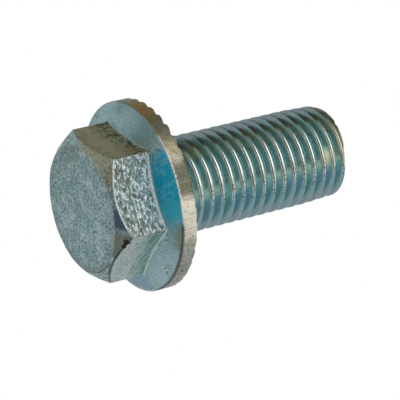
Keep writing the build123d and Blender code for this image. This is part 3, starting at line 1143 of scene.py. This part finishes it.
def build_stage(settings):
    """Pale floor under the bolt, seen only from above, the studio round it, the lamps and the camera."""

    # Floor, clear from below and to all rays but the camera's
    size = 1.2
    mesh = bpy.data.meshes.new("floor")
    mesh.from_pydata([(-size, -size, 0), (size, -size, 0), (size, size, 0), (-size, size, 0)], [], [(0, 1, 2, 3)])
    floor = bpy.data.objects.new("floor", mesh)
    bpy.context.scene.collection.objects.link(floor)
    material, tree = new_tree("Pale floor")
    w = Wiring(tree)
    place = w.add("ShaderNodeTexCoord").outputs["Object"]
    darker = tuple(c * 0.97 for c in settings.floor_colour)
    shade = w.mix(w.noise(place, 40.0, 3.0), tuple(settings.floor_colour), darker)
    shader = w.add("ShaderNodeBsdfPrincipled")
    shader.inputs["Roughness"].default_value = 0.8
    w.put(shader.inputs["Base Color"], shade)
    seen = w.add("ShaderNodeLightPath").outputs["Is Camera Ray"]
    shader.inputs["Emission Color"].default_value = (0.9, 0.9, 0.9, 1.0)
    w.put(shader.inputs["Emission Strength"], w.math("MULTIPLY", seen, settings.floor_glow))
    clear = w.add("ShaderNodeBsdfTransparent")
    behind = w.add("ShaderNodeNewGeometry").outputs["Backfacing"]
    unseen = w.math("SUBTRACT", 1.0, seen)
    either = w.add("ShaderNodeMixShader")
    w.put(either.inputs[0], w.math("MAXIMUM", behind, unseen))
    w.put(either.inputs[1], shader.outputs["BSDF"])
    w.put(either.inputs[2], clear.outputs["BSDF"])
    out = w.add("ShaderNodeOutputMaterial")
    w.put(out.inputs["Surface"], either.outputs["Shader"])
    mesh.materials.append(material)

    # Camera, found by fitting the bolt's edges to the photograph: its right, down and ahead directions
    right = Vector((-0.23468941, 0.48591832, 0.84190514))
    down = Vector((-0.97196089, -0.10430262, -0.2107439))
    ahead = Vector((-0.01459142, -0.86775823, 0.49677233))
    camera_place = Vector((2.20107, 320.28326, -161.95177)) * MM
    camera_data = bpy.data.cameras.new("camera")
    camera_data.lens = settings.lens
    camera_data.sensor_width = 36.0
    camera_data.clip_start = 0.01
    camera = bpy.data.objects.new("camera", camera_data)
    turn = Matrix((right, -down, -ahead)).transposed().to_4x4()
    camera.matrix_world = Matrix.Translation(camera_place) @ turn
    bpy.context.scene.collection.objects.link(camera)
    bpy.context.scene.camera = camera

    # Studio: grey with a few broad lobes of light and dark, and white behind the bolt
    bpy.context.scene.view_settings.view_transform = "Standard"
    world = bpy.data.worlds.new("studio")
    bpy.context.scene.world = world
    world.use_nodes = True
    world.node_tree.nodes.clear()
    w = Wiring(world.node_tree)
    direction = w.add("ShaderNodeTexCoord").outputs["Generated"]

    def towards(axis):
        """Cosine of the angle between the ray and an axis."""
        node = w.add("ShaderNodeVectorMath", operation="DOT_PRODUCT")
        w.put(node.inputs[0], direction)
        node.inputs[1].default_value = axis
        return node.outputs["Value"]

    def within(axis, wide, narrow):
        """1 within a narrow angle of an axis and 0 past a wide one, in degrees."""
        return w.ramp(towards(axis), math.cos(math.radians(wide)), math.cos(math.radians(narrow)))

    def lobe(colour, value, axis, wide, narrow):
        """Lay a colour over another round a direction."""
        return w.mix(within(Vector(axis).normalized(), wide, narrow), colour, value)

    lit = lobe((0.43, 0.48, 0.48), (0.48, 0.50, 0.50), (-0.9, 0.0, 0.3), 90, 20)
    lit = lobe(lit, (0.28, 0.31, 0.31), (0.0, 0.2, -1.0), 60, 15)
    lit = lobe(lit, (0.80, 0.79, 0.76), (-0.25, 0.82, 0.55), 55, 15)
    lit = lobe(lit, (0.22, 0.22, 0.18), (0.87, -0.1, 0.45), 55, 25)
    lit = lobe(lit, (0.05, 0.05, 0.04), (0.85, -0.08, 0.52), 16, 6)
    sky = w.add("ShaderNodeBackground")
    w.put(sky.inputs["Color"], lit)
    sky.inputs["Strength"].default_value = 1.0
    white = w.add("ShaderNodeBackground")
    white.inputs["Color"].default_value = (1, 1, 1, 1)
    white.inputs["Strength"].default_value = 1.0
    pick = w.add("ShaderNodeMixShader")
    path = w.add("ShaderNodeLightPath").outputs
    seen = w.math("MAXIMUM", path["Is Glossy Ray"], path["Is Transmission Ray"])
    behind = within(ahead, 22, 10)
    w.put(pick.inputs[0], w.math("MAXIMUM", path["Is Camera Ray"], w.math("MULTIPLY", seen, behind)))
    w.put(pick.inputs[1], sky.outputs["Background"])
    w.put(pick.inputs[2], white.outputs["Background"])
    out = w.add("ShaderNodeOutputWorld")
    w.put(out.inputs["Surface"], pick.outputs["Shader"])

    # Lamps, aimed at the middle of the bolt
    centre = Vector((0, 0, 0.02))

    def lamp(name, where, power, width, height, colour):
        """Rectangular area lamp aimed at the centre."""
        data = bpy.data.lights.new(name, "AREA")
        data.energy = power
        data.shape = "RECTANGLE"
        data.size = width
        data.size_y = height
        data.color = colour
        lamp_object = bpy.data.objects.new(name, data)
        lamp_object.location = where
        aim = centre - where
        lamp_object.rotation_euler = aim.to_track_quat("-Z", "Y").to_euler()
        bpy.context.scene.collection.objects.link(lamp_object)

    key = Vector((0.25, 0.83, 0.50)).normalized()
    lamp("key_lamp", centre + key * 0.5, settings.key_power, 0.55, 0.10, (1.0, 0.99, 0.96))
    lamp("fill_lamp", centre + Vector((-0.3, 0.2, 0.5)), settings.fill_power, 0.4, 0.4, (0.95, 0.98, 1.0))


# Operators, panel and run


class BOLT_OT_metal(bpy.types.Operator):
    """Make the plated metal that both pieces of the bolt share."""

    bl_idname = "bolt.metal"
    bl_label = "Plated metal"

    def execute(self, context):
        groups = (tint_patch_group(), side_band_group(), mottle_group(), grain_group())
        head_finish(context.scene.bolt_colours, groups)
        thread_finish(context.scene.bolt_colours, groups)
        return {"FINISHED"}


class BOLT_OT_head(bpy.types.Operator):
    """Build the hexagon head with its flange, serrations and neck."""

    bl_idname = "bolt.head"
    bl_label = "Head and flange"

    def execute(self, context):
        build_head(context.scene.bolt_sizes, bpy.data.materials["Zinc on the head"])
        return {"FINISHED"}


class BOLT_OT_shank(bpy.types.Operator):
    """Build the shank with its rolled thread and bevelled tip."""

    bl_idname = "bolt.shank"
    bl_label = "Threaded shank"

    def execute(self, context):
        build_shank(context.scene.bolt_sizes, bpy.data.materials["Zinc on the thread"])
        return {"FINISHED"}


class BOLT_OT_stage(bpy.types.Operator):
    """Set up the floor, the studio, the lamps and the camera."""

    bl_idname = "bolt.stage"
    bl_label = "Stage"

    def execute(self, context):
        build_stage(context.scene.bolt_stage)
        return {"FINISHED"}


class BOLT_PT_panel(bpy.types.Panel):
    """Lists the bolt's settings and building steps."""

    bl_idname = "BOLT_PT_panel"
    bl_label = "Flange Bolt"
    bl_space_type = "VIEW_3D"
    bl_region_type = "UI"
    bl_category = "Flange Bolt"

    def draw(self, context):
        layout = self.layout
        for group in (context.scene.bolt_sizes, context.scene.bolt_colours, context.scene.bolt_stage):
            box = layout.box()
            for key in group.__annotations__:
                box.prop(group, key)
        for operator in STEPS:
            layout.operator(operator.bl_idname)


STEPS = (BOLT_OT_metal, BOLT_OT_head, BOLT_OT_shank, BOLT_OT_stage)
CLASSES = (BoltSizes, ZincColours, StageSettings, *STEPS, BOLT_PT_panel)


def register():
    """Register the classes and hang the settings on the scene."""
    for item in CLASSES:
        bpy.utils.register_class(item)
    bpy.types.Scene.bolt_sizes = PointerProperty(type=BoltSizes)
    bpy.types.Scene.bolt_colours = PointerProperty(type=ZincColours)
    bpy.types.Scene.bolt_stage = PointerProperty(type=StageSettings)


def unregister():
    """Take the settings and the classes away again."""
    del bpy.types.Scene.bolt_sizes
    del bpy.types.Scene.bolt_colours
    del bpy.types.Scene.bolt_stage
    for item in reversed(CLASSES):
        bpy.utils.unregister_class(item)


def main():
    """Register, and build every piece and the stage."""
    register()
    bpy.ops.bolt.metal()
    bpy.ops.bolt.head()
    bpy.ops.bolt.shank()
    bpy.ops.bolt.stage()


if __name__ == "__main__":
    main()
